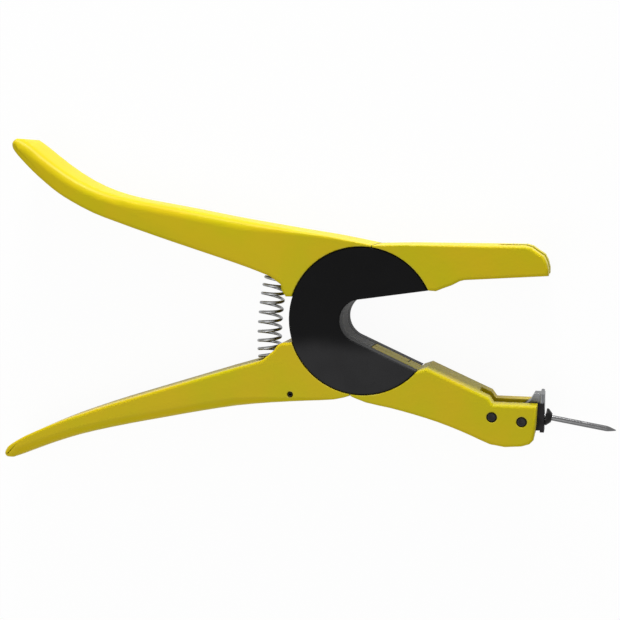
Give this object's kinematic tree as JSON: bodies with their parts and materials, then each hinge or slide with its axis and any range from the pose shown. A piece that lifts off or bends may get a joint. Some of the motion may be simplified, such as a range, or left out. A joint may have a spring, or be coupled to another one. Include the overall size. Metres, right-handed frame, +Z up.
{
  "type": "ear tag applicator",
  "caption": "Hand pliers for two-piece ear tags: crossed cast arms in a C-shaped bearing, a return spring, an anvil jaw and a needle that flips out.",
  "frame": {"origin": "middle of the tool's underside, as it lies on its side", "axes": "+X towards the jaws, +Y from the lower grip to the upper grip, +Z up through the tool's thickness, towards the viewer of the picture"},
  "size_m": [0.2824, 0.1506, 0.025],
  "materials": {
    "enamelled_casting": "semi-gloss yellow enamel on cast aluminium",
    "black_nylon": "moulded, faint sheen",
    "grey_nylon": "moulded, matt",
    "bright_steel": "bare, drawn or ground",
    "dark_steel": "blackened"
  },
  "bodies": {
    "needle_side": {"needle_arm": "enamelled_casting", "front_cheek": "black_nylon", "rear_cheek": "black_nylon", "throat_hub": "grey_nylon", "cheek_screw_1": "bright_steel", "cheek_screw_2": "bright_steel", "cheek_screw_3": "bright_steel", "cheek_screw_4": "bright_steel", "return_spring": "bright_steel", "carrier_pin": "dark_steel", "detent_pin": "dark_steel", "detent_spring": "bright_steel"},
    "anvil_side": {"anvil_arm": "enamelled_casting", "anvil_plate": "bright_steel", "anvil_screw_front": "bright_steel", "anvil_screw_rear": "bright_steel", "tag_clip": "bright_steel", "clip_screw": "bright_steel", "roll_pin": "dark_steel"},
    "carrier": {"needle_carrier": "bright_steel", "needle": "bright_steel", "needle_collar": "dark_steel"}
  },
  "joints": [
    {"name": "jaw_hinge", "type": "hinge", "parent": "needle_side", "child": "anvil_side", "pos_m": [0.03176, -0.00528, 0.0125], "axis": [0, 0, -1], "range_deg": [0, 32], "stiffness_Nm_per_rad": 2.9, "springref_deg": -14.32, "deforming": ["return_spring"]},
    {"name": "carrier_flip", "type": "hinge", "parent": "needle_side", "child": "carrier", "pos_m": [0.10191, -0.04667, 0.0125], "axis": [0, 0, 1], "range_deg": [0, 90]}
  ]
}
